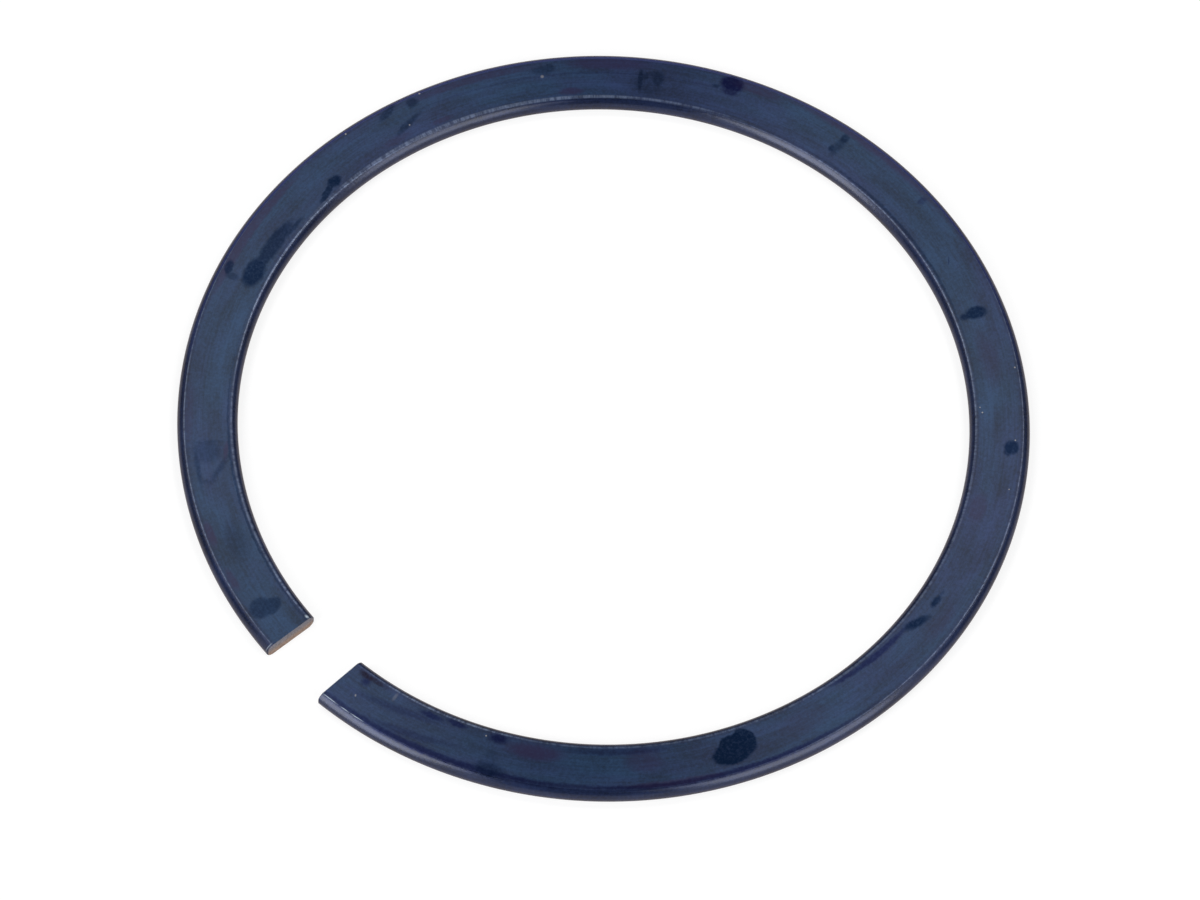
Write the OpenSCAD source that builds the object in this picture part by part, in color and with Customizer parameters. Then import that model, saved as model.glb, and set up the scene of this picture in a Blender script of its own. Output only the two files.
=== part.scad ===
// Flat-wire retaining ring: one open ring of spring steel, coiled from flat wire with rolled, convex edges
// and cropped across, so that its two ends face each other over a gap. It lies on its seating face at
// z = 0, with its axis on Z and the gap towards -Y. All sizes are in millimetres, with the ring free.

/* [Ring] */
// Outside diameter over the rim
outer_d = 90; // [60:1:140]
// Radial width of the flat wire, from bore to rim
wire_w = 6.4; // [5:0.1:9]
// Thickness of the flat wire, from seating face to top face
wire_t = 2; // [1.8:0.1:3]

/* [Rolled edges] */
// How far the rim's rolled edge stands out past the flat faces
rim_bulge = 0.75; // [0.4:0.05:0.85]
// How far the bore's rolled edge stands in past the flat faces
bore_bulge = 0.7; // [0.4:0.05:0.85]
// Height of the narrow true land left at the middle of each rolled edge
land_h = 0.3; // [0.2:0.05:0.5]

/* [Ends] */
// Clear distance between the two end faces, at the middle of the wire's width
gap_w = 7.5; // [4:0.1:12]
// Degrees by which the end at -X is cropped off parallel, so that the gap widens towards the rim
left_lean = 3.5; // [0:0.5:6]
// Degrees by which the end at +X is cropped off parallel
right_lean = 0.5; // [0:0.5:6]
// Radius of the upright corners where an end face meets the rim and the bore
corner_r = 0.15; // [0.1:0.05:0.6]

/* [Hidden] */
$fn = 180;

rim_r = outer_d / 2;
bore_r = rim_r - wire_w;
mid_r = (rim_r + bore_r) / 2;
half_t = wire_t / 2;
half_land = land_h / 2;
half_gap = gap_w / 2;

// How far a cutting shape runs past what it cuts
over = 1;
// How far the centre of a corner's arc is set out towards the rim or the bore, so that the arc meets that
// edge at a clear angle
corner_set = corner_r / 10;

// Depth from an edge's land back to the centre of its arc. The arc leaves the flat face at a crease that lies
// one bulge behind the land.
function arc_depth(bulge) = (bulge * bulge + half_t * half_t - half_land * half_land) / (2 * bulge);

// Radius of that arc, which ends at the land's two edges
function arc_r(bulge) = norm([arc_depth(bulge), half_land]);

// A plan vector turned anticlockwise
function turned(v, angle) = [v.x * cos(angle) - v.y * sin(angle), v.x * sin(angle) + v.y * cos(angle)];

// Distance along an end face from the foot of the ring's axis to the centre of a corner, for a corner whose
// centre lies at radius r and at offset dx from the axis
function chord(r, dx) = sqrt(r * r - dx * dx);

// Profile of the wire seen from one edge: its arc, and all that lies behind the arc's centre. The edge's land
// is on x = 0, the wire's mid-height on y = 0, and the metal lies at -x.
module edge_blank(bulge) {
    depth = arc_depth(bulge);
    translate([-depth, 0])
        circle(arc_r(bulge));
    translate([-wire_w - over, -half_t - over])
        square([wire_w + over - depth, wire_t + 2 * over]);
}

// Cross-section of the wire, at its place beside the ring's axis
module wire_section() {
    intersection() {
        translate([bore_r, 0])
            square([wire_w, wire_t]);
        translate([rim_r, half_t])
            edge_blank(rim_bulge);
        translate([bore_r, half_t])
            mirror([1, 0])
                edge_blank(bore_bulge);
    }
}

// Plan of the sliver that rounds one upright corner of an end. edge_way is the unit vector from the corner's
// centre straight to the rim or to the bore.
module corner_sliver(centre, edge_way) {
    reach = 2 * corner_r;
    difference() {
        polygon([
            centre,
            centre + [reach, 0],
            centre + [reach, 0] + reach * edge_way,
            centre + reach * edge_way
        ]);
        translate(centre)
            circle(corner_r);
    }
}

// Plan of what the crop takes away at one end, from its face to just past the gap's centre line. It is laid
// out for the end at -X, about the middle of its face, with the metal at -x and the rim towards -y.
module end_crop(lean) {
    face_mid = [-half_gap, -chord(mid_r, half_gap)];
    axis = turned(-face_mid, lean);
    offset_x = -corner_r - axis.x;
    rim_corner = [-corner_r, axis.y - chord(rim_r - corner_r + corner_set, offset_x)];
    bore_corner = [-corner_r, axis.y - chord(bore_r + corner_r - corner_set, offset_x)];
    translate(face_mid)
        rotate(-lean) {
            translate([0, -wire_w])
                square([half_gap + over, 2 * wire_w]);
            corner_sliver(rim_corner, (rim_corner - axis) / norm(rim_corner - axis));
            corner_sliver(bore_corner, (axis - bore_corner) / norm(axis - bore_corner));
        }
}

// Plan of the gap between the two ends, with the rounded corners of both
module gap_plan() {
    end_crop(left_lean);
    mirror([1, 0])
        end_crop(right_lean);
}

// The ring: the wire's section turned through a full circle, less the gap
module ring() {
    color("#24364f")
        difference() {
            rotate_extrude()
                wire_section();
            translate([0, 0, -over])
                linear_extrude(wire_t + 2 * over)
                    gap_plan();
        }
}

ring();
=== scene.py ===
"""Scene for a blued flat-wire retaining ring that lies free on a pale floor.

The section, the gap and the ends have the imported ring's sizes. A finer mesh stands for it here, because
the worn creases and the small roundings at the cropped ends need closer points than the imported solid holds.
The ring's lengths are in millimetres, and MM turns them to Blender's metres. The lamps, the cards, the floor
and the camera are placed in metres.
"""

import logging
import math
from dataclasses import dataclass, field
from enum import Enum
from functools import reduce
from typing import Any

import bpy
from mathutils import Matrix, Vector


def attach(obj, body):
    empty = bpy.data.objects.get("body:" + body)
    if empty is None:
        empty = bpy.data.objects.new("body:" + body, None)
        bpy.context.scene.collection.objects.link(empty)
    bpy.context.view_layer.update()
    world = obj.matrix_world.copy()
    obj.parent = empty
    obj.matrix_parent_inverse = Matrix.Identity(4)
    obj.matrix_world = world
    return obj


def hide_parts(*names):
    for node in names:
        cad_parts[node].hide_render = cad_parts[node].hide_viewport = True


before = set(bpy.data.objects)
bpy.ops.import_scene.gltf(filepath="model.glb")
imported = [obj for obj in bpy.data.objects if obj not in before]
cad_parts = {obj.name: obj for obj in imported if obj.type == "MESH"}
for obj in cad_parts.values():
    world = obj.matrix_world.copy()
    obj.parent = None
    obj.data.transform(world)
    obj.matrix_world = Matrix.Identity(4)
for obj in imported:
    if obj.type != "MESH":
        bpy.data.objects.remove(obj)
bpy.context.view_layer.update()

log = logging.getLogger("retaining_ring")

# Types that many fields and functions here have
Tree = bpy.types.NodeTree
Socket = bpy.types.NodeSocket
Pair = tuple[float, float]
Triple = tuple[float, float, float]

MM = 0.001
WHITE = (1.0, 1.0, 1.0, 1.0)
# Degrees round the ring at which the camera stands, 0 looking along +Y and 90 along -X.
CAMERA_AZIMUTH = 44.0
# A coordinate, in millimetres, that nothing on the ring comes near.
BEYOND = 1e6
# Positions of a colour Mix node's sockets, whose names its number and vector sockets share.
SHARE, FIRST, SECOND, MIXED = 0, 6, 7, 2
# Positions of a number Mix node's two values.
LOW, HIGH = 2, 3


def linear(hex_colour: str) -> tuple[float, float, float, float]:
    """Turns an sRGB hex colour to the linear colour that Blender's sockets take.

    Args:
        hex_colour: The colour as "#rrggbb".

    Returns:
        Red, green, blue and alpha, linear.
    """
    channels = []
    for start in (1, 3, 5):
        value = int(hex_colour[start : start + 2], 16) / 255
        channels.append(value / 12.92 if value <= 0.04045 else ((value + 0.055) / 1.055) ** 2.4)
    return channels[0], channels[1], channels[2], 1.0


def add_node(
    tree: Tree, kind: str, inputs: dict[str | int, Any] | None = None, out: str | int = 0, **settings: Any
) -> Socket | None:
    """Adds one node to a tree, with its settings and its links.

    Args:
        tree: The material's or the world's node tree.
        kind: Blender's name for the kind of node, without the leading "ShaderNode".
        inputs: What goes into each input, by its name or position: a value, or the output to link from.
        out: The name or position of the output to hand back.
        **settings: The node's own properties.

    Returns:
        That output of the new node, or None where the node has no outputs.
    """
    node = tree.nodes.new(f"ShaderNode{kind}")
    for name, value in settings.items():
        setattr(node, name, value)
    for key, value in (inputs or {}).items():
        if isinstance(value, Socket):
            tree.links.new(value, node.inputs[key])
        else:
            node.inputs[key].default_value = value
    return node.outputs[out] if node.outputs else None


def add_object(name: str, data: bpy.types.ID) -> bpy.types.Object:
    """Puts a mesh, a lamp or a camera in the scene.

    Args:
        name: The object's name.
        data: What it holds.

    Returns:
        The object.
    """
    made = bpy.data.objects.new(name, data)
    bpy.context.scene.collection.objects.link(made)
    return made


class Tint(Enum):
    """What a mark on the ring's upper face is made of; some kinds hold painted shade and painted highlights.
    """

    # Dried oil stains, and also dark lines along the bore's crease that are painted shade.
    OIL_AND_SHADE = "oil dried dark"
    # Darker blueing, and also a dark line along the rim's crease that is painted shade.
    NAVY_AND_SHADE = "darker blueing"
    TEMPER = "purple temper colour"
    # A painted violet sheen: a reflection painted along the rim's shoulder on the far side.
    VIOLET_SHEEN = "bright violet temper colour"
    RUST = "brown stain"
    # Rubbed blueing along the creases, partly painted highlights.
    RUBBED_AND_GLINT = "blueing rubbed thin"
    # Painted glints: highlights painted at a corner and along a crease.
    PAINTED_GLINT = "bright bare steel"
    DUST = "pale speck"


class Edge(Enum):
    """A rolled edge of the wire, by its sign outwards from the middle of the wire's width."""

    RIM = 1
    BORE = -1


@dataclass(frozen=True)
class WireSection:
    """Cross-section of the flat wire: two flat faces and two rolled, convex edges, each with a narrow land.

    Attributes:
        rim_r: Outer radius of the ring.
        width: Radial width of the wire.
        thick: Thickness of the wire.
        rim_bulge: How far the rim's edge stands out past the flats.
        bore_bulge: How far the bore's edge stands in past the flats.
        land: Height of the land at the middle of each edge.
        crease_r: Radius to which the crease between a flat and an edge is worn.
        inset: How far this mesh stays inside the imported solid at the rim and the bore.
        strip: Width of the face beside each crease, which keeps the shading of the flat level.
        flat_steps: Faces across each flat, between those two.
        crease_steps: Faces round each worn crease.
        edge_steps: Faces round each edge, from the crease to the land.
    """

    rim_r: float = 45.0
    width: float = 6.4
    thick: float = 2.0
    rim_bulge: float = 0.75
    bore_bulge: float = 0.7
    land: float = 0.3
    crease_r: float = 0.25
    inset: float = 0.01
    strip: float = 0.12
    flat_steps: int = 8
    crease_steps: int = 4
    edge_steps: int = 7

    @property
    def half(self) -> float:
        """Half the wire's thickness."""
        return self.thick / 2

    @property
    def bore_r(self) -> float:
        """Radius of the bore."""
        return self.rim_r - self.width

    @property
    def mid_r(self) -> float:
        """Radius at the middle of the wire's width."""
        return self.rim_r - self.width / 2

    def crease_out(self, edge: Edge) -> float:
        """Distance of a crease from the middle of the wire's width, outwards."""
        bulge = self.rim_bulge if edge is Edge.RIM else self.bore_bulge
        return edge.value * (self.width / 2 - bulge)

    def upper_edge(self, edge: Edge) -> list[Pair]:
        """Lays out one worn crease and its edge's arc, from the end of the flat to the land.

        Args:
            edge: The rim's or the bore's edge.

        Returns:
            Points (radius, height above mid-thickness).
        """
        bulge = self.rim_bulge if edge is Edge.RIM else self.bore_bulge
        land_r = self.rim_r if edge is Edge.RIM else self.bore_r
        depth = (bulge**2 + self.half**2 - (self.land / 2) ** 2) / (2 * bulge)
        arc = math.hypot(depth, self.land / 2)
        centre = land_r - edge.value * (depth + self.inset)
        # The worn crease is a fillet that touches the flat and the inside of the edge's arc.
        rise = self.half - self.crease_r
        along = math.sqrt((arc - self.crease_r) ** 2 - rise**2)
        meet = math.atan2(rise, along)
        points = []
        for step in range(self.crease_steps + 1):
            angle = math.pi / 2 + (meet - math.pi / 2) * step / self.crease_steps
            across = along + self.crease_r * math.cos(angle)
            points.append((centre + edge.value * across, rise + self.crease_r * math.sin(angle)))
        land_angle = math.atan2(self.land / 2, depth)
        for step in range(1, self.edge_steps + 1):
            angle = meet + (land_angle - meet) * step / self.edge_steps
            points.append((centre + edge.value * arc * math.cos(angle), arc * math.sin(angle)))
        return points

    def outline(self) -> list[Pair]:
        """Lays out the whole closed section.

        Returns:
            Points (radius, height above the seating face): the upper chain from the bore's land over the
            flat to the rim's land, then the lower chain back.
        """
        bore = self.upper_edge(Edge.BORE)[::-1]
        rim = self.upper_edge(Edge.RIM)
        first, last = bore[-1][0] + self.strip, rim[0][0] - self.strip
        steps = range(self.flat_steps + 1)
        flat = [(first + (last - first) * step / self.flat_steps, self.half) for step in steps]
        upper = bore + flat + rim
        lower = [(radius, -height) for radius, height in reversed(upper)]
        return [(radius, self.half + height) for radius, height in upper + lower]


@dataclass(frozen=True)
class CroppedEnd:
    """One end of the wire, where it was cropped across.

    Attributes:
        lean: Degrees by which the face is off parallel, so that the gap widens towards the rim.
        half_gap: Distance from the gap's centre line to the middle of the face.
        corner_r: Radius of the upright corners at the rim and the bore.
        roll_r: Radius to which the crop's own edges are rolled over.
        depths: How far behind the face each of the end's closely set stations lies.
    """

    lean: float
    half_gap: float = 3.75
    corner_r: float = 0.15
    roll_r: float = 0.06
    depths: tuple[float, ...] = (
        0, 0.004, 0.015, 0.033, 0.06, 0.09, 0.12, 0.16, 0.25, 0.45, 0.7, 1.1, 1.7, 2.5,
    )

    def angle(self, radius: float, depth: float, mid_r: float) -> float:
        """Finds where a line parallel to the face meets a circle round the ring's axis.

        Args:
            radius: The circle's radius.
            depth: How far behind the face the line lies, in the metal.
            mid_r: Radius at the middle of the wire's width.

        Returns:
            The angle from the gap's centre line to that place, in radians.
        """
        lean = math.radians(self.lean)
        foot = math.sqrt(mid_r**2 - self.half_gap**2)
        offset = self.half_gap * math.cos(lean) - foot * math.sin(lean)
        return lean + math.asin((offset + depth) / radius)

    def corner_draw(self, depth: float) -> float:
        """How far the upright corners draw the rim and the bore in, at a depth behind the face."""
        return self.corner_r - math.sqrt(self.corner_r**2 - max(0.0, self.corner_r - depth) ** 2)

    def roll_draw(self, depth: float) -> float:
        """How far the rolled-over edges draw the whole section in, at a depth behind the face."""
        return self.roll_r - math.sqrt(self.roll_r**2 - max(0.0, self.roll_r - depth) ** 2)


@dataclass(frozen=True)
class Mark:
    """One mark on the upper face, roughly oval.

    Attributes:
        tint: What it is made of.
        turn: Degrees round the axis from the side opposite the gap, anticlockwise from above.
        out: Distance outwards from the middle of the wire's width.
        half_long: Half its length along the wire.
        half_wide: Half its width across the wire.
        strength: How fully it covers, from 0 to 1.
        soft: How far its border fades, as a share of its size.
        lean: Degrees that it is turned out of line with the wire.
    """

    tint: Tint
    turn: float
    out: float
    half_long: float
    half_wide: float
    strength: float
    soft: float = 0.25
    lean: float = 0.0

    def cover(self, tree: Tree, carried: Socket, mid_r: float) -> Socket:
        """Adds the nodes that lay this mark over those before it.

        Args:
            tree: The material's node tree.
            carried: Along the wire, out from its middle, and how fully the marks so far cover that place.
            mid_r: Radius at the middle of the wire's width.

        Returns:
            The same with this mark added, where it is the fuller.
        """
        # The scale makes the cover that is carried so far too small to count as distance.
        own = add_node(
            tree,
            "Mapping",
            {
                "Vector": carried,
                "Location": (math.radians(self.turn) * mid_r, self.out, 0),
                "Rotation": (0, 0, math.radians(self.lean)),
                "Scale": (self.half_long, self.half_wide, BEYOND),
            },
            vector_type="TEXTURE",
        )
        away = add_node(tree, "VectorMath", {0: own}, "Value", operation="LENGTH")
        cover = add_node(
            tree,
            "MapRange",
            {"Value": away, "From Min": 1 + self.soft, "From Max": 1 - self.soft, "To Max": self.strength},
            interpolation_type="SMOOTHSTEP",
        )
        # The place itself always wins the maximum in the first two coordinates.
        here = add_node(tree, "CombineXYZ", {"X": -BEYOND, "Y": -BEYOND, "Z": cover})
        return add_node(tree, "VectorMath", {0: carried, 1: here}, operation="MAXIMUM")


# The marks on the upper face: stains and wear, and among them painted shade and painted highlights. Each
# row gives a mark's turn, out, half_long, half_wide and strength, and then its soft and its lean where they
# aren't the plain ones.
MARKS: dict[Tint, tuple[tuple[float, ...], ...]] = {
    Tint.NAVY_AND_SHADE: (
        # Across the far side
        (27.7, 1.63, 1.2, 0.95, 0.95),
        (27.6, 0.62, 0.8, 0.45, 0.7, 0.4),
        (-5.5, 1.54, 0.36, 0.59, 0.4, 0.4),
        # Down the right
        (-15.9, -0.27, 0.55, 0.06, 0.6, 0.25, 28),
        (-88.5, -1.82, 4.8, 0.32, 0.75, 0.4, 2),
        (-94.5, -2.05, 2.0, 0.26, 0.7, 0.5, 3),
        # By the right end
        (-149.7, -1.83, 1.0, 0.5, 0.9, 0.5),
        (-156.3, -2.02, 1.1, 0.3, 0.85, 0.5),
        (-160.3, -1.75, 1.3, 0.34, 0.8, 0.5),
        (-171.6, -1.4, 0.42, 0.42, 0.7, 0.8),
        (-165.0, -0.7, 4.6, 0.4, 0.38, 0.6, -9),
        (-162.5, 1.3, 4.8, 0.4, 0.38, 0.6, -9),
        (-132.0, -1.88, 5.11, 0.36, 0.45, 0.5),
        # Painted shade: a dark line along the rim's crease on the near side
        (-156.0, 2.22, 14.0, 0.36, 0.78, 0.5),
        (-118.0, 2.26, 14.5, 0.27, 0.75, 0.5),
        # A long fine scratch on the far side
        (52.0, 0.64, 21.16, 0.07, 0.22, 0.7),
    ),
    Tint.TEMPER: (
        # Along the rim, the bore and the flat, all round
        (106.0, 1.98, 7.66, 0.5, 0.7, 0.3),
        (65.0, 1.94, 6.57, 0.45, 0.6, 0.5),
        (45.5, 1.85, 4.01, 0.72, 0.65, 0.4),
        (24.0, 1.94, 2.48, 0.59, 0.6, 0.5),
        (6.0, 2.21, 8.75, 0.36, 0.6, 0.5),
        (51.2, -1.57, 1.31, 0.41, 0.7, 0.4),
        (71.8, -1.61, 1.17, 0.32, 0.6, 0.5),
        (79.5, -1.43, 1.6, 0.5, 0.4, 0.5),
        (-33.0, -0.4, 3.28, 0.99, 0.3, 0.6),
        (-58.8, -1.16, 1.75, 0.85, 0.5, 0.4),
        (-79.0, 0.86, 2.19, 0.81, 0.3, 0.5),
        (-103.5, -0.17, 2.92, 1.35, 0.3, 0.6),
        (-128.0, -0.67, 1.9, 1.26, 0.5, 0.5),
        (-144.0, -1.2, 2.9, 0.9, 0.85, 0.5),
        (-124.0, 2.12, 4.38, 0.36, 0.6, 0.4),
        (136.5, 1.94, 3.28, 0.45, 0.4, 0.5),
        (155.7, 1.94, 1.46, 0.45, 0.75, 0.4),
        (163.5, 1.9, 1.31, 0.45, 0.65, 0.4),
        (142.8, -1.79, 1.24, 0.23, 0.7, 0.4, 8),
    ),
    Tint.VIOLET_SHEEN: (
        # Painted violet sheen: a reflection painted as a line along the rim's shoulder on the far side
        (46.0, 2.64, 52.52, 0.23, 0.9, 0.3),
    ),
    Tint.OIL_AND_SHADE: (
        # Beside the left end, and the outline of a dried drop above it
        (169.3, 0.9, 1.15, 1.3, 0.62, 0.2, -8),
        (169.8, -0.1, 0.85, 1.25, 0.66, 0.2, -12),
        (144.8, 1.4, 2.3, 0.28, 0.5, 0.6),
        (142.6, 0.2, 1.3, 1.45, 0.36, 0.4),
        (141.1, 0.1, 0.2, 1.4, 0.4, 0.7),
        (145.9, -0.72, 1.8, 0.3, 0.42, 0.7, 38),
        (147.5, 0.6, 0.22, 0.8, 0.3, 0.8),
        (158.0, -0.31, 2.2, 1.1, 0.22, 0.7),
        # Up the left
        (111.4, -0.87, 1.9, 1.08, 0.9),
        (105.8, -1.05, 3.5, 0.8, 0.75),
        (101.8, -1.7, 1.6, 0.3, 0.65, 0.4),
        (112.2, 1.82, 0.85, 0.45, 0.8, 0.25, -12),
        (113.3, 1.1, 0.42, 0.75, 0.45, 0.4),
        (91.5, -1.3, 0.92, 0.62, 0.95),
        (93.6, -1.68, 1.5, 0.38, 0.85, 0.25, -17),
        (76.6, -0.35, 1.8, 0.31, 0.6, 0.55, -20),
        (77.4, -0.53, 0.51, 0.41, 0.6, 0.4),
        (74.4, 1.76, 0.64, 0.58, 0.6, 0.4),
        (78.3, 1.94, 1.15, 0.43, 0.6, 0.4, -22),
        # Across the far side
        (54.9, 1.4, 1.17, 0.54, 0.4, 0.4),
        (54.0, 1.58, 0.44, 0.5, 0.45, 0.3),
        (38.3, 0.34, 0.62, 0.95, 0.52, 0.4),
        (38.8, 0.85, 0.7, 0.35, 0.4, 0.4),
        (40.8, -0.05, 0.3, 1.25, 0.65, 0.4),
        (40.1, 0.5, 0.3, 0.5, 0.5, 0.4),
        (39.6, -0.45, 1.6, 1.3, 0.24, 0.4),
        (29.8, 0.91, 0.44, 0.23, 0.55, 0.4),
        (9.4, 1.22, 0.42, 0.6, 0.75, 0.4),
        (9.9, -0.55, 0.36, 0.48, 0.75, 0.4),
        (9.4, 0.23, 0.45, 1.4, 0.5, 0.5),
        # Down the right
        (-25.4, -0.22, 0.74, 1.2, 0.95, 0.3),
        (-25.6, -1.4, 0.4, 0.62, 0.8, 0.4),
        (-48.1, 1.27, 0.84, 0.8, 0.9, 0.25, -6),
        (-48.9, 0.9, 0.42, 0.42, 0.7, 0.4),
        (-80.5, -1.1, 1.5, 0.48, 0.95, 0.45, 21),
        (-75.9, -0.87, 0.82, 0.36, 0.9, 0.45),
        (-74.3, -0.8, 0.44, 0.16, 0.4, 0.5),
        # The large stain on the near side, and those by the right end
        (-115.2, 0.14, 2.26, 1.35, 1.0, 0.12, -6),
        (-113.2, -0.68, 1.36, 1.55, 1.0, 0.12),
        (-115.4, -0.95, 1.3, 0.85, 1.0, 0.15, -32),
        (-149.7, 1.85, 1.5, 0.85, 0.7, 0.5),
        (-149.9, 0.4, 0.8, 1.0, 0.3, 0.7),
        (-156.0, -0.2, 17.0, 2.6, 0.13, 0.6),
        # Painted shade: dark lines along the bore's crease, at the back right and on the left
        (-8.0, -2.24, 12.6, 0.17, 0.5, 0.5),
        (152.0, -2.16, 17.5, 0.12, 0.5, 0.5),
    ),
    Tint.RUST: (
        # A smear beside the right end
        (-172.0, -2.02, 1.1, 0.32, 0.85, 0.6),
        (-170.6, -2.08, 1.5, 0.22, 0.7, 0.6),
    ),
    Tint.RUBBED_AND_GLINT: (
        # Rubbed lines along the creases, partly painted highlights, the bore's strongest on the far side
        (144.0, 2.46, 24.07, 0.06, 0.35, 0.6),
        (-64.0, 2.46, 27.72, 0.06, 0.35, 0.6),
        (62.0, -2.33, 23.34, 0.19, 0.42, 0.4),
        (152.0, -2.52, 16.78, 0.14, 0.35, 0.5),
        (102.0, -2.54, 20.43, 0.09, 0.5, 0.5),
        (-26.0, -2.56, 35.02, 0.07, 0.35, 0.5),
        (-106.0, -2.47, 49.61, 0.14, 0.22, 0.5),
        (168.5, -2.44, 3.2, 0.1, 0.55, 0.4),
        (-158.0, -2.5, 9.5, 0.14, 0.5, 0.4),
    ),
    Tint.PAINTED_GLINT: (
        # Painted glints at the left end's bore corner, and in a broken line along the rim's crease by the
        # right end
        (174.3, -2.44, 0.2, 0.12, 0.6, 0.9, -14),
        (-173.8, 2.48, 0.77, 0.04, 0.4, 0.6),
        (-171.2, 2.48, 0.44, 0.04, 0.35, 0.6),
        (-169.2, 2.48, 0.66, 0.04, 0.35, 0.6),
        # A painted glint down the left end's upright corner at the rim
        (174.7, 2.8, 0.05, 0.42, 0.25, 0.6),
    ),
    Tint.DUST: (
        # Specks here and there
        (85.0, 2.34, 0.085, 0.085, 0.75, 0.5),
        (72.8, 2.46, 0.093, 0.093, 0.75, 0.5),
        (55.2, 0.59, 0.16, 0.16, 0.4, 0.6),
        (-35.3, 2.17, 0.076, 0.076, 0.75, 0.5),
        (-46.9, 1.63, 0.068, 0.068, 0.75, 0.5),
        (-42.4, -1.84, 0.076, 0.076, 0.75, 0.5),
        (-41.5, -2.06, 0.06, 0.06, 0.75, 0.5),
        (-54.8, 1.58, 0.06, 0.06, 0.75, 0.5),
        (76.5, -0.53, 0.076, 0.076, 0.75, 0.5),
        (-151.6, -1.79, 0.076, 0.076, 0.75, 0.5),
        (-171.4, 0.5, 0.08, 0.13, 0.45, 0.6, -30),
        (-166.6, -1.75, 0.16, 0.45, 0.13, 0.7),
    ),
}


@dataclass(frozen=True)
class Unrolled:
    """Outputs that lay the ring out straight, in millimetres.

    Attributes:
        plan: Along the wire, out from its middle, and 0.
        solid: The same with the height above the seating face.
        height: That height by itself.
        past: How far a place lies past the nearer crease, towards its edge, and below 0 on the flats.
    """

    plan: Socket
    solid: Socket
    height: Socket
    past: Socket

    @classmethod
    def on(cls, tree: Tree, section: WireSection) -> "Unrolled":
        """Adds the nodes that work these out from a place on the object.

        Args:
            tree: The material's node tree.
            section: The wire's section.

        Returns:
            The outputs.
        """
        place = add_node(tree, "TexCoord", out="Object")
        scaled = add_node(tree, "VectorMath", {0: place, "Scale": 1 / MM}, operation="SCALE")
        x = add_node(tree, "SeparateXYZ", {0: scaled})
        y, z = x.node.outputs["Y"], x.node.outputs["Z"]
        level = add_node(tree, "CombineXYZ", {"X": x, "Y": y})
        radius = add_node(tree, "VectorMath", {0: level}, "Value", operation="LENGTH")
        back = add_node(tree, "Math", {0: x, 1: -1.0}, operation="MULTIPLY")
        turn = add_node(tree, "Math", {0: back, 1: y}, operation="ARCTAN2")
        along = add_node(tree, "Math", {0: turn, 1: section.mid_r}, operation="MULTIPLY")
        out = add_node(tree, "Math", {0: radius, 1: section.mid_r}, operation="SUBTRACT")
        past_rim = add_node(tree, "Math", {0: out, 1: section.crease_out(Edge.RIM)}, operation="SUBTRACT")
        past_bore = add_node(tree, "Math", {0: section.crease_out(Edge.BORE), 1: out}, operation="SUBTRACT")
        return cls(
            plan=add_node(tree, "CombineXYZ", {"X": along, "Y": out}),
            solid=add_node(tree, "CombineXYZ", {"X": along, "Y": out, "Z": z}),
            height=z,
            past=add_node(tree, "Math", {0: past_rim, 1: past_bore}, operation="MAXIMUM"),
        )


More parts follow.
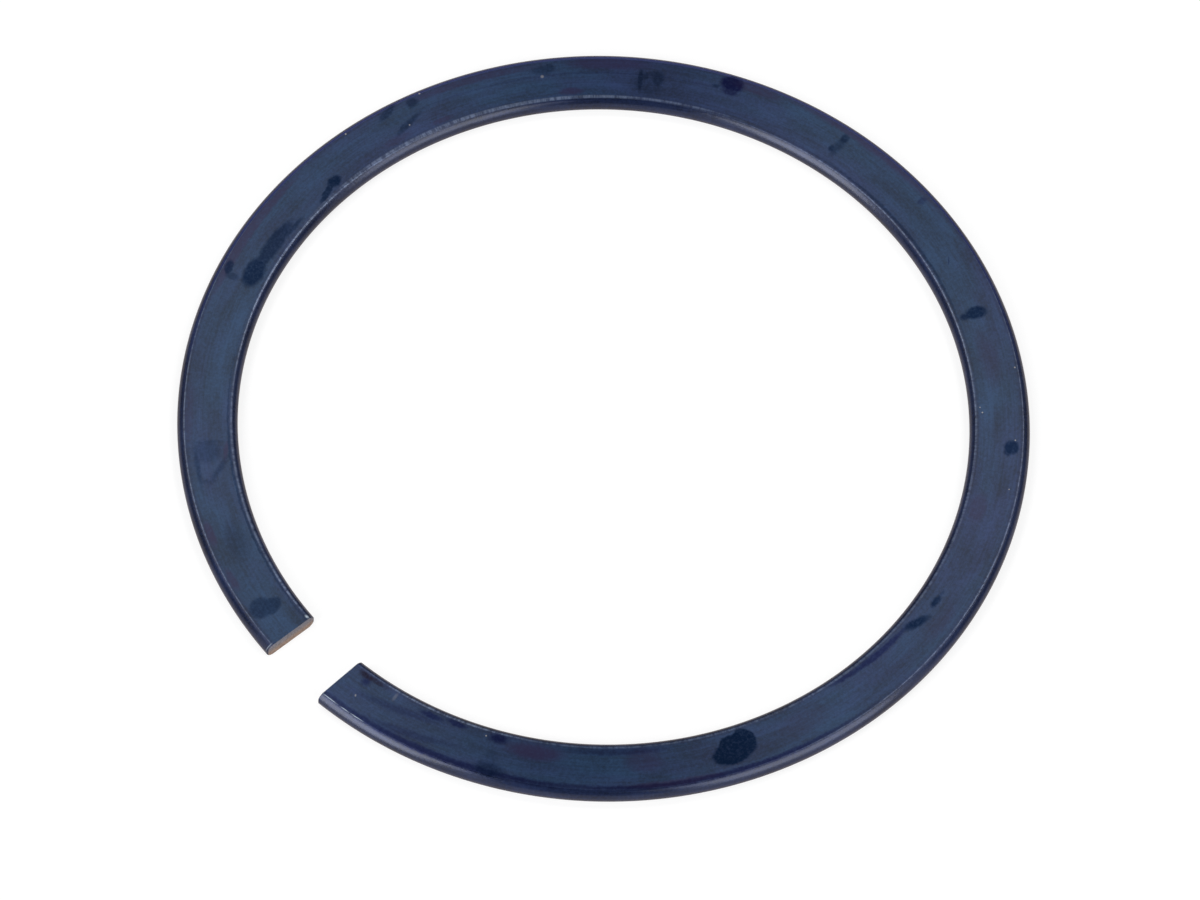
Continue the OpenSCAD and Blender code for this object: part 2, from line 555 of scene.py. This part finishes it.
@dataclass(frozen=True)
class BluedSpringSteel:
    """Hardened spring steel wire, rolled and ground, then blued in hot salts and oiled.

    The blueing gives the eye a dark satin blue, with a violet cast where it is thin. The ground flats are
    dull and show the grinding along the wire. The rolled edges are smoother and mirror more, so they turn
    from navy to pale blue with the light. Dried oil leaves dark stains, and rubbed creases show grey steel.
    Shade is painted as a dark strip and dark lines beside the creases, and highlights as pale lines and
    glints along them, with a painted violet sheen along the far rim's shoulder.

    Attributes:
        flat_blue: Colour of the ground flats.
        flat_violet: Colour of the clouds in it.
        edge_blue: Colour of the rolled edges.
        painted_crease_shade: Colour of the painted shade, a dark strip beside each crease.
        tint_colours: Colour of each kind of mark, a later one covering those before it.
        metallic: How metallic the oxide is.
        stain_metallic: The same on stains, so high that their dark colour tints what they mirror.
        specular: Specular level of the oiled oxide.
        anisotropic: How far the grinding draws the gloss out.
        flat_rough: Roughness of the flats.
        edge_rough: Roughness of the rolled edges.
        grain_mm: Width of the grinding lines, drawn coarser than the real few hundredths so that they show.
        grain_shape: How fine the lines are along the wire, across it and up it, against that width.
        mottle_mm: Size of the mottle that the blueing salts leave, drawn coarser for the same reason.
        mottle_weight: Strength of the mottle against the grinding lines.
        cloud_mm: Size of the violet clouds.
        cloud_shape: How fine the clouds are in the same three directions.
        patch_mm: Size of the patches of uneven shade.
        patch_weight: Strength of the patches against the grinding lines.
        shade: What these three multiply the colour by, at the darkest and at the palest.
        nicks_a_mm: Nicks in a millimetre, in the same three directions.
        crease_shade_span: How far past a crease the strip of painted shade begins, and is full.
        edge_start: How far past a crease the finish of the rolled edge is full.
        top_span: How far below the upper face marks end, and are full.
        ragged_mm: How far apart the places can be to which noise pushes a stain's border.
        pit_mm: Depth of the mottle.
    """

    flat_blue: str = "#1d3451"
    flat_violet: str = "#213052"
    edge_blue: str = "#1c2643"
    painted_crease_shade: str = "#101838"
    tint_colours: tuple[tuple[Tint, str], ...] = (
        (Tint.NAVY_AND_SHADE, "#151b48"),
        (Tint.TEMPER, "#241d41"),
        (Tint.VIOLET_SHEEN, "#3a4377"),
        (Tint.OIL_AND_SHADE, "#0a1f3c"),
        (Tint.RUST, "#1e1523"),
        (Tint.RUBBED_AND_GLINT, "#8796b4"),
        (Tint.PAINTED_GLINT, "#d3e2ee"),
        (Tint.DUST, "#a8a4a2"),
    )
    metallic: float = 0.25
    stain_metallic: float = 0.95
    specular: float = 0.5
    anisotropic: float = 0.8
    flat_rough: float = 0.5
    edge_rough: float = 0.24
    grain_mm: float = 0.22
    grain_shape: Triple = (0.03, 1.0, 1.0)
    mottle_mm: float = 0.3
    mottle_weight: float = 2.0
    cloud_mm: float = 9.0
    cloud_shape: Triple = (0.5, 1.6, 1.0)
    patch_mm: float = 2.8125
    patch_weight: float = 1.8
    shade: Pair = (0.5, 1.5)
    nicks_a_mm: Triple = (2.6, 0.7, 0.7)
    crease_shade_span: Pair = (-0.5, -0.16)
    edge_start: float = 0.08
    top_span: Pair = (0.2, 0.12)
    ragged_mm: float = 0.6
    pit_mm: float = 0.02

    def marks_of(self, tree: Tree, plan: Socket, marks: list[Mark], mid_r: float) -> Socket:
        """Adds the nodes that draw several marks, each place taking the fullest of them.

        Args:
            tree: The material's node tree.
            plan: Places on the unrolled upper face.
            marks: The marks, at least one.
            mid_r: Radius at the middle of the wire's width.

        Returns:
            How fully the marks cover each place.
        """
        # The cover rides along as the third coordinate, so the marks are worked out one after another.
        carried = reduce(lambda before, mark: mark.cover(tree, before, mid_r), marks, plan)
        return add_node(tree, "SeparateXYZ", {0: carried}, "Z")

    def ground_flat(self, tree: Tree, lay: Unrolled) -> tuple[Socket, ...]:
        """Adds the nodes for the plain ground flats, without marks.

        Args:
            tree: The material's node tree.
            lay: Places on the unrolled ring.

        Returns:
            The flats' colour, the shade to multiply it by, and the mottle within that shade, about 0.5.
        """
        # Clouds of violet in the blue, drawn out along the wire.
        stretched = add_node(tree, "VectorMath", {0: lay.solid, 1: self.cloud_shape}, operation="MULTIPLY")
        cloud = add_node(
            tree,
            "TexNoise",
            {"Vector": stretched, "Scale": 1 / self.cloud_mm, "Detail": 4.0, "Roughness": 0.6},
        )
        violet = add_node(tree, "MapRange", {"Value": cloud, "From Min": 0.42, "From Max": 0.62})
        flat = add_node(
            tree,
            "Mix",
            {SHARE: violet, FIRST: linear(self.flat_blue), SECOND: linear(self.flat_violet)},
            MIXED,
            data_type="RGBA",
        )
        # Grinding lines along the wire, and the mottle that the blueing salts leave.
        lines = add_node(tree, "VectorMath", {0: lay.solid, 1: self.grain_shape}, operation="MULTIPLY")
        grain = add_node(tree, "TexNoise", {"Vector": lines, "Scale": 1 / self.grain_mm, "Detail": 2.0})
        mottle = add_node(
            tree,
            "TexNoise",
            {"Vector": lay.solid, "Scale": 1 / self.mottle_mm, "Detail": 3.0, "Roughness": 0.75},
        )
        # Patches of uneven shade. The fourth coordinate only sets them apart from the clouds.
        patches = add_node(
            tree,
            "TexNoise",
            {"Vector": stretched, "Scale": 1 / self.patch_mm, "Detail": 2.0, "W": 3.0},
            noise_dimensions="4D",
        )
        total = add_node(tree, "Math", {0: mottle, 1: self.mottle_weight, 2: grain}, operation="MULTIPLY_ADD")
        total = add_node(tree, "Math", {0: patches, 1: self.patch_weight, 2: total}, operation="MULTIPLY_ADD")
        darkest, palest = self.shade
        shade = add_node(
            tree,
            "MapRange",
            {"Value": total, "From Min": 1.8, "From Max": 3.0, "To Min": darkest, "To Max": palest},
        )
        return flat, shade, mottle

    def material(self, section: WireSection, marks: list[Mark]) -> bpy.types.Material:
        """Makes the material.

        Args:
            section: The wire's section, which says where the flats end.
            marks: The marks on the upper face.

        Returns:
            The material.
        """
        made = bpy.data.materials.new("blued_spring_steel")
        made.use_nodes = True
        tree = made.node_tree
        tree.nodes.clear()
        lay = Unrolled.on(tree, section)
        colour, shade, mottle = self.ground_flat(tree, lay)

        # Nicks across the creases: they break up the painted shade strip beside each crease and the rubbed
        # lines with their painted highlights.
        across = add_node(tree, "VectorMath", {0: lay.solid, 1: self.nicks_a_mm}, operation="MULTIPLY")
        nicks = add_node(tree, "TexNoise", {"Vector": across, "Scale": 1.0, "Detail": 3.0, "Roughness": 0.7})
        # Painted shade: the colour darkens in a strip on the flat just inside each crease.
        shade_begins, shade_full = self.crease_shade_span
        strip = add_node(
            tree,
            "MapRange",
            {"Value": lay.past, "From Min": shade_begins, "From Max": shade_full},
            interpolation_type="SMOOTHSTEP",
        )
        uneven = add_node(
            tree,
            "MapRange",
            {"Value": nicks, "From Min": 0.35, "From Max": 0.6, "To Min": 0.6, "To Max": 0.2},
        )
        strip = add_node(tree, "Math", {0: strip, 1: uneven}, operation="MULTIPLY")
        edge = add_node(
            tree,
            "MapRange",
            {"Value": lay.past, "From Min": 0.0, "From Max": self.edge_start},
            interpolation_type="SMOOTHSTEP",
        )
        for share, painted in ((strip, self.painted_crease_shade), (edge, self.edge_blue)):
            colour = add_node(
                tree, "Mix", {SHARE: share, FIRST: colour, SECOND: linear(painted)}, MIXED, data_type="RGBA"
            )
        colour = add_node(
            tree,
            "Mix",
            {SHARE: 1.0, FIRST: colour, SECOND: shade},
            MIXED,
            data_type="RGBA",
            blend_type="MULTIPLY",
        )
        rough = add_node(
            tree, "Mix", {SHARE: edge, LOW: self.flat_rough, HIGH: self.edge_rough}, data_type="FLOAT"
        )

        # Noise pushes the borders of the stains about, and the mottle thins them. The nicks break the rubbed
        # lines and their painted highlights. All marks end just below the upper face, except for the painted
        # glints.
        marks_end, marks_full = self.top_span
        on_top = add_node(
            tree,
            "MapRange",
            {
                "Value": lay.height,
                "From Min": section.thick - marks_end,
                "From Max": section.thick - marks_full,
            },
        )
        wobble = {"Vector": lay.plan, "Scale": 1.3, "Detail": 5.0, "Roughness": 0.7}
        push = add_node(tree, "TexNoise", wobble, "Color")
        centred = add_node(tree, "VectorMath", {0: push, 1: (0.5, 0.5, 0.5)}, operation="SUBTRACT")
        reach = (self.ragged_mm, self.ragged_mm, 0.0)
        ragged = add_node(
            tree, "VectorMath", {0: centred, 1: reach, 2: lay.plan}, operation="MULTIPLY_ADD"
        )
        thinned = add_node(
            tree, "MapRange", {"Value": mottle, "From Min": 0.68, "From Max": 0.45, "To Min": 0.7}
        )
        broken = add_node(
            tree, "MapRange", {"Value": nicks, "From Min": 0.38, "From Max": 0.62, "To Min": 0.2}
        )
        metallic: Socket | float = self.metallic
        for tint, painted in self.tint_colours:
            crisp = tint in (Tint.RUBBED_AND_GLINT, Tint.PAINTED_GLINT, Tint.DUST, Tint.VIOLET_SHEEN)
            # Specks and the painted violet sheen aren't thinned, but fade the faster below the upper face.
            kept = broken if tint is Tint.RUBBED_AND_GLINT else on_top if crisp else thinned
            same = [mark for mark in marks if mark.tint is tint]
            share = self.marks_of(tree, lay.plan if crisp else ragged, same, section.mid_r)
            for gate in () if tint is Tint.PAINTED_GLINT else (kept, on_top):
                share = add_node(tree, "Math", {0: share, 1: gate}, operation="MULTIPLY")
            colour = add_node(
                tree, "Mix", {SHARE: share, FIRST: colour, SECOND: linear(painted)}, MIXED, data_type="RGBA"
            )
            if tint in (Tint.OIL_AND_SHADE, Tint.NAVY_AND_SHADE, Tint.RUST):
                metallic = add_node(
                    tree, "Mix", {SHARE: share, LOW: metallic, HIGH: self.stain_metallic}, data_type="FLOAT"
                )
        bump = add_node(tree, "Bump", {"Height": mottle, "Strength": 0.45, "Distance": self.pit_mm * MM})
        # The tangent runs round the ring, along the grinding, and the quarter turn lays the gloss across it.
        shader = add_node(
            tree,
            "BsdfPrincipled",
            {
                "Base Color": colour,
                "Metallic": metallic,
                "Roughness": rough,
                "Specular IOR Level": self.specular,
                "Anisotropic": self.anisotropic,
                "Anisotropic Rotation": 0.25,
                "Tangent": add_node(tree, "Tangent", direction_type="RADIAL", axis="Z"),
                "Normal": bump,
            },
        )
        add_node(tree, "OutputMaterial", {"Surface": shader})
        return made


@dataclass(frozen=True)
class CroppedSteel:
    """Spring steel sheared through, then blued with the rest.

    The shear gives the eye a dull, finely pitted face, grey in the upper part, where the blade went through,
    and brown below, where the wire broke. The blueing on it is too thin to look blue.

    Attributes:
        sheared_grey: Colour of the upper part.
        broken_brown: Colour of the lower part.
        brown_span: Heights over which brown turns to grey, with the grain's noise of about 0.5 added.
        metallic: How metallic the thin oxide is.
        specular: Its specular level.
        rough: Its roughness.
        grain_mm: Size of the grains, as coarse as they need to show.
        pit_mm: Depth of the pits between them.
    """

    sheared_grey: str = "#787883"
    broken_brown: str = "#978071"
    brown_span: Pair = (0.9, 2.1)
    metallic: float = 0.3
    specular: float = 0.3
    rough: float = 0.5
    grain_mm: float = 0.25
    pit_mm: float = 0.05

    def material(self, section: WireSection) -> bpy.types.Material:
        """Makes the material.

        Args:
            section: The wire's section.

        Returns:
            The material.
        """
        made = bpy.data.materials.new("cropped_spring_steel")
        made.use_nodes = True
        tree = made.node_tree
        tree.nodes.clear()
        lay = Unrolled.on(tree, section)
        grain = add_node(
            tree,
            "TexNoise",
            {"Vector": lay.solid, "Scale": 1 / self.grain_mm, "Detail": 4.0, "Roughness": 0.7},
        )
        lift = add_node(tree, "Math", {0: grain, 1: lay.height}, operation="ADD")
        brown_ends, grey_begins = self.brown_span
        upper = add_node(
            tree,
            "MapRange",
            {"Value": lift, "From Min": brown_ends, "From Max": grey_begins},
            interpolation_type="SMOOTHSTEP",
        )
        colour = add_node(
            tree,
            "Mix",
            {SHARE: upper, FIRST: linear(self.broken_brown), SECOND: linear(self.sheared_grey)},
            MIXED,
            data_type="RGBA",
        )
        pitted = add_node(
            tree,
            "MapRange",
            {"Value": grain, "From Min": 0.35, "From Max": 0.65, "To Min": 0.6, "To Max": 1.3},
        )
        colour = add_node(
            tree,
            "Mix",
            {SHARE: 1.0, FIRST: colour, SECOND: pitted},
            MIXED,
            data_type="RGBA",
            blend_type="MULTIPLY",
        )
        bump = add_node(tree, "Bump", {"Height": grain, "Strength": 0.6, "Distance": self.pit_mm * MM})
        shader = add_node(
            tree,
            "BsdfPrincipled",
            {
                "Base Color": colour,
                "Metallic": self.metallic,
                "Roughness": self.rough,
                "Specular IOR Level": self.specular,
                "Normal": bump,
            },
        )
        add_node(tree, "OutputMaterial", {"Surface": shader})
        return made


@dataclass
class RetainingRing:
    """The ring: one flat wire, coiled round edgewise and left open between two cropped ends.

    Attributes:
        section: The wire's section.
        left: The end at the gap's -X side.
        right: The end at the gap's +X side.
        round_steps: Steps from the one end's last station round to the other's.
        steel: The wire's finish.
        cropped: The finish of both end faces.
        marks: The marks on the upper face.
    """

    section: WireSection = field(default_factory=WireSection)
    left: CroppedEnd = field(default_factory=lambda: CroppedEnd(lean=3.5))
    right: CroppedEnd = field(default_factory=lambda: CroppedEnd(lean=0.5))
    round_steps: int = 860
    steel: BluedSpringSteel = field(default_factory=BluedSpringSteel)
    cropped: CroppedSteel = field(default_factory=CroppedSteel)
    marks: list[Mark] = field(
        default_factory=lambda: [Mark(tint, *row) for tint, rows in MARKS.items() for row in rows]
    )

    def stations(self) -> list[list[Triple]]:
        """Sweeps the section from the left end round to the right end.

        Returns:
            For each station, its section's points in metres.
        """
        outline, mid_r = self.section.outline(), self.section.mid_r
        deepest = self.left.depths[-1]
        rows = [self.end_station(self.left, depth, 1) for depth in self.left.depths]
        for step in range(1, self.round_steps):
            share = step / self.round_steps
            row = []
            for radius, height in outline:
                first = self.left.angle(radius, deepest, mid_r)
                last = 2 * math.pi - self.right.angle(radius, deepest, mid_r)
                row.append(self.at(first + (last - first) * share, radius, height))
            rows.append(row)
        rows += [self.end_station(self.right, depth, -1) for depth in reversed(self.right.depths)]
        return rows

    def end_station(self, end: CroppedEnd, depth: float, way: int) -> list[Triple]:
        """Lays out one station beside an end.

        Args:
            end: The end.
            depth: How far behind the end's face the station lies.
            way: 1 at the left end and -1 at the right.

        Returns:
            The station's points in metres.
        """
        section = self.section
        inner, outer = section.bore_r + section.inset, section.rim_r - section.inset
        draw, roll = end.corner_draw(depth), end.roll_draw(depth)
        row = []
        for radius, height in section.outline():
            radius = min(max(radius, inner + draw), outer - draw)
            inwards = section.mid_r - radius
            radius += math.copysign(min(roll, abs(inwards)), inwards) * self.sideways(radius)
            height += (section.half - height) * roll / section.half
            row.append(self.at(way * end.angle(radius, depth, section.mid_r), radius, height))
        return row

    @staticmethod
    def at(angle: float, radius: float, height: float) -> Triple:
        """Turns a place on the wire to a point in metres, with the angle taken from -Y towards -X."""
        return -radius * math.sin(angle) * MM, -radius * math.cos(angle) * MM, height * MM

    def sideways(self, radius: float) -> float:
        """How far a place on the section faces the rim or the bore, from 0 on the flats to 1 at the lands."""
        past = abs(radius - self.section.mid_r) - (self.section.width / 2 - self.section.rim_bulge)
        return min(max(past / self.section.rim_bulge, 0.0), 1.0)

    def build(self) -> bpy.types.Object:
        """Builds the ring's mesh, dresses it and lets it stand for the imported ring.

        Returns:
            The ring.
        """
        wire_slot, end_slot = 0, 1
        rows = self.stations()
        count = len(rows[0])
        faces, slots = [], []
        for station in range(len(rows) - 1):
            here, there = station * count, (station + 1) * count
            for corner in range(count):
                after = (corner + 1) % count
                faces.append((here + corner, there + corner, there + after, here + after))
                slots.append(wire_slot)
        # Each end is closed by a ladder of faces between the upper and the lower chain.
        for first, flip in ((0, False), ((len(rows) - 1) * count, True)):
            last = first + count - 1
            for step in range(count // 2 - 1):
                rung = (first + step, first + step + 1, last - step - 1, last - step)
                faces.append(rung[::-1] if flip else rung)
                slots.append(end_slot)
        mesh = bpy.data.meshes.new("retaining_ring")
        mesh.from_pydata([point for row in rows for point in row], [], faces)
        mesh.polygons.foreach_set("material_index", slots)
        mesh.polygons.foreach_set("use_smooth", [slot == wire_slot for slot in slots])
        mesh.validate()
        mesh.update()
        ring = add_object("retaining_ring", mesh)
        mesh.materials.append(self.steel.material(self.section, self.marks))
        mesh.materials.append(self.cropped.material(self.section))
        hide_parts("ring")
        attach(ring, "root")
        log.info("retaining ring: %d points, %d faces", len(mesh.vertices), len(mesh.polygons))
        return ring


@dataclass(frozen=True)
class Softbox:
    """A rectangular softbox that faces the ring.

    Attributes:
        name: The lamp's name.
        azimuth: Degrees round from +X, anticlockwise from above, at which it stands.
        elevation: Degrees above the floor at which its middle stands.
        distance: Metres from the ring.
        width: Metres across.
        height: Metres high.
        power: Watts.
    """

    name: str
    azimuth: float
    elevation: float
    distance: float
    width: float
    height: float
    power: float

    def build(self) -> bpy.types.Object:
        """Sets up the lamp.

        Returns:
            The lamp.
        """
        light = bpy.data.lights.new(self.name, "AREA")
        light.shape = "RECTANGLE"
        light.size, light.size_y, light.energy = self.width, self.height, self.power
        lamp = add_object(self.name, light)
        round_, up = math.radians(self.azimuth), math.radians(self.elevation)
        way = Vector((math.cos(up) * math.cos(round_), math.cos(up) * math.sin(round_), math.sin(up)))
        turn = (-way).to_track_quat("-Z", "Y").to_matrix().to_4x4()
        lamp.matrix_world = Matrix.Translation(way * self.distance) @ turn
        lamp.visible_camera = False
        log.info("softbox %s", self.name)
        return lamp


@dataclass(frozen=True)
class DarkCards:
    """Two matt dark cards in the light tent: a low wall behind the ring, and an arch over it.

    They never show and throw no shadow, but the blued faces mirror them. They keep the rolled edges dark at
    the sides and at the back, and the ground flats darker where the wire runs across the view.

    Attributes:
        azimuth: Degrees round the ring at which the arch comes over, with the wall opposite.
        radius: Metres from the ring.
        arch_half: Metres from the arch's middle to its edge.
        arch_span: Degrees over which the arch runs, from 0 at the far horizon to 180 at the near one.
        wall_height: Metres from the floor to the wall's top.
        wall_span: Degrees over which the wall runs to each side of its middle.
        grey: The cards' colour.
        steps: Faces along each card.
    """

    azimuth: float = CAMERA_AZIMUTH
    radius: float = 1.6
    arch_half: float = 0.5
    arch_span: Pair = (38.0, 168.0)
    wall_height: float = 1.4
    wall_span: float = 105.0
    grey: str = "#1c1c1c"
    steps: int = 24

    def strips(self) -> tuple[list[Vector], list[tuple[int, ...]]]:
        """Lays out both cards.

        Returns:
            Their points and faces.
        """
        turn = math.radians(self.azimuth)
        near = Vector((math.sin(turn), -math.cos(turn), 0.0))
        aside = Vector((math.cos(turn), math.sin(turn), 0.0))
        upward = Vector((0.0, 0.0, 1.0))
        points: list[Vector] = []
        first, last = self.arch_span
        for step in range(self.steps + 1):
            angle = math.radians(first + (last - first) * step / self.steps)
            place = (upward * math.sin(angle) - near * math.cos(angle)) * self.radius
            points += [place - aside * self.arch_half, place + aside * self.arch_half]
        for step in range(self.steps + 1):
            angle = math.radians(self.wall_span * (2 * step / self.steps - 1))
            foot = (aside * math.sin(angle) - near * math.cos(angle)) * self.radius
            points += [foot, foot + upward * self.wall_height]
        # Each face runs from one pair of points to the next, and none joins the arch to the wall.
        wall_first = self.steps + 1
        pairs = [*range(self.steps), *range(wall_first, wall_first + self.steps)]
        return points, [(2 * pair, 2 * pair + 1, 2 * pair + 3, 2 * pair + 2) for pair in pairs]

    def build(self) -> bpy.types.Object:
        """Sets up the cards.

        Returns:
            Both cards as one object.
        """
        mesh = bpy.data.meshes.new("dark_cards")
        points, faces = self.strips()
        mesh.from_pydata(points, [], faces)
        cards = add_object("dark_cards", mesh)
        card = bpy.data.materials.new("matt_dark_card")
        card.use_nodes = True
        card.node_tree.nodes.clear()
        matt = add_node(card.node_tree, "BsdfDiffuse", {"Color": linear(self.grey)})
        add_node(card.node_tree, "OutputMaterial", {"Surface": matt})
        mesh.materials.append(card)
        cards.visible_camera = cards.visible_shadow = cards.visible_diffuse = False
        log.info("dark cards behind and over the ring")
        return cards


@dataclass
class Studio:
    """A plain pale floor, a white surround, soft lamps and dark cards.

    Attributes:
        floor_r: Metres from the ring to the floor's rim.
        floor_steps: Straight stretches round the floor's rim.
        floor_paper: Colour of the floor for the light that it throws back on the ring.
        floor_mirrored: Colour of the floor where gloss or glass shows it.
        floor_shade: How much of the light on the floor shows, which keeps the shadow.
        floor_glow: Strength of the glow that makes up the rest of its white.
        fill: Strength of the surround as light.
        lamps: The softboxes.
        cards: The dark cards.
    """

    floor_r: float = 5.0
    floor_steps: int = 96
    floor_paper: str = "#e6e6e6"
    floor_mirrored: str = "#ddcec4"
    floor_shade: float = 0.25
    floor_glow: float = 0.78
    fill: float = 0.12
    lamps: list[Softbox] = field(
        default_factory=lambda: [
            # Name, azimuth, elevation, distance, width, height, power
            Softbox("softbox_front_left", 264, 30, 1.2, 0.66, 1.25, 11.8),
            Softbox("softbox_front_right", 0, 36, 1.2, 0.8, 1.0, 7.6),
            Softbox("softbox_back_left", 184, 57, 1.35, 0.5, 0.45, 3.7),
            Softbox("softbox_back_right", 84, 57, 1.35, 0.5, 0.45, 4.2),
        ]
    )
    cards: DarkCards = field(default_factory=DarkCards)

    def seen(self, tree: Tree) -> Socket:
        """Adds the nodes that tell what is seen from what only throws light.

        Args:
            tree: The world's or the floor's node tree.

        Returns:
            1 for the camera and for gloss or glass, and 0 for other light.
        """
        camera = add_node(tree, "LightPath", out="Is Camera Ray")
        gloss = camera.node.outputs["Is Glossy Ray"]
        glass = camera.node.outputs["Is Transmission Ray"]
        shown = add_node(tree, "Math", {0: camera, 1: gloss}, operation="MAXIMUM")
        return add_node(tree, "Math", {0: shown, 1: glass}, operation="MAXIMUM")

    def build_surround(self) -> None:
        """Makes the world: white where it is seen, and a low fill as light."""
        world = bpy.data.worlds.new("white_surround")
        world.use_nodes = True
        tree = world.node_tree
        tree.nodes.clear()
        strength = add_node(
            tree, "Mix", {SHARE: self.seen(tree), LOW: self.fill, HIGH: 1.0}, data_type="FLOAT"
        )
        background = add_node(tree, "Background", {"Color": WHITE, "Strength": strength})
        add_node(tree, "OutputWorld", {"Surface": background})
        bpy.context.scene.world = world

    def build_floor(self) -> bpy.types.Object:
        """Makes the floor, which looks white and keeps a faint shadow.

        Returns:
            The floor.
        """
        turns = [2 * math.pi * step / self.floor_steps for step in range(self.floor_steps)]
        rim = [(self.floor_r * math.cos(turn), self.floor_r * math.sin(turn), 0.0) for turn in turns]
        mesh = bpy.data.meshes.new("pale_floor")
        mesh.from_pydata(rim, [], [tuple(range(self.floor_steps))])
        floor = add_object("pale_floor", mesh)
        paper = bpy.data.materials.new("matt_white_paper")
        paper.use_nodes = True
        tree = paper.node_tree
        tree.nodes.clear()
        lit = add_node(tree, "BsdfDiffuse", {"Color": linear(self.floor_paper)})
        grey = (self.floor_shade, self.floor_shade, self.floor_shade, 1.0)
        shaded = add_node(tree, "BsdfDiffuse", {"Color": grey})
        camera = add_node(tree, "LightPath", out="Is Camera Ray")
        tone = add_node(
            tree,
            "Mix",
            {SHARE: camera, FIRST: linear(self.floor_mirrored), SECOND: WHITE},
            MIXED,
            data_type="RGBA",
        )
        glow = add_node(tree, "Emission", {"Color": tone, "Strength": self.floor_glow})
        white = add_node(tree, "AddShader", {0: shaded, 1: glow})
        surface = add_node(tree, "MixShader", {0: self.seen(tree), 1: lit, 2: white})
        add_node(tree, "OutputMaterial", {"Surface": surface})
        mesh.materials.append(paper)
        log.info("pale floor")
        return floor

    def build(self) -> None:
        """Builds the surround, the floor, the lamps and the cards."""
        bpy.context.scene.view_settings.view_transform = "Standard"
        self.build_surround()
        self.build_floor()
        for lamp in self.lamps:
            lamp.build()
        self.cards.build()


@dataclass(frozen=True)
class PhotoCamera:
    """The camera, at the photograph's viewing angle.

    Attributes:
        azimuth: Degrees round the ring.
        elevation: Degrees above the floor.
        roll: Degrees that the camera is turned about its own axis.
        distance: Metres from the place it aims at.
        lens: Focal length.
        sensor: Width of the sensor.
        near: Metres to the closest thing that it shows.
        far: Metres to the furthest.
        aim: The place on the floor, in millimetres, that it aims at.
    """

    azimuth: float = CAMERA_AZIMUTH
    elevation: float = 60.742
    roll: float = 2.509
    distance: float = 1.06423
    lens: float = 302.708
    sensor: float = 36.0
    near: float = 0.05
    far: float = 20.0
    aim: Pair = (1.8413, -2.2993)

    def build(self) -> bpy.types.Object:
        """Sets up the camera and gives it to the scene.

        Returns:
            The camera.
        """
        data = bpy.data.cameras.new("photo_camera")
        data.lens, data.sensor_width = self.lens, self.sensor
        data.clip_start, data.clip_end = self.near, self.far
        camera = add_object("photo_camera", data)
        round_, up = math.radians(self.azimuth), math.radians(self.elevation)
        back = Vector((math.sin(round_) * math.cos(up), -math.cos(round_) * math.cos(up), math.sin(up)))
        right = Vector((math.cos(round_), math.sin(round_), 0.0))
        above = back.cross(right)
        roll = math.radians(self.roll)
        across = right * math.cos(roll) + above * math.sin(roll)
        upward = above * math.cos(roll) - right * math.sin(roll)
        turn = Matrix((across, upward, back)).transposed().to_4x4()
        place = Vector((self.aim[0] * MM, self.aim[1] * MM, 0.0)) + back * self.distance
        camera.matrix_world = Matrix.Translation(place) @ turn
        bpy.context.scene.camera = camera
        log.info("camera %.3f m away", self.distance)
        return camera


def main() -> None:
    """Builds the camera, the studio and the ring."""
    logging.basicConfig(level=logging.INFO, format="%(name)s: %(message)s")
    PhotoCamera().build()
    Studio().build()
    RetainingRing().build()


if __name__ == "__main__":
    main()
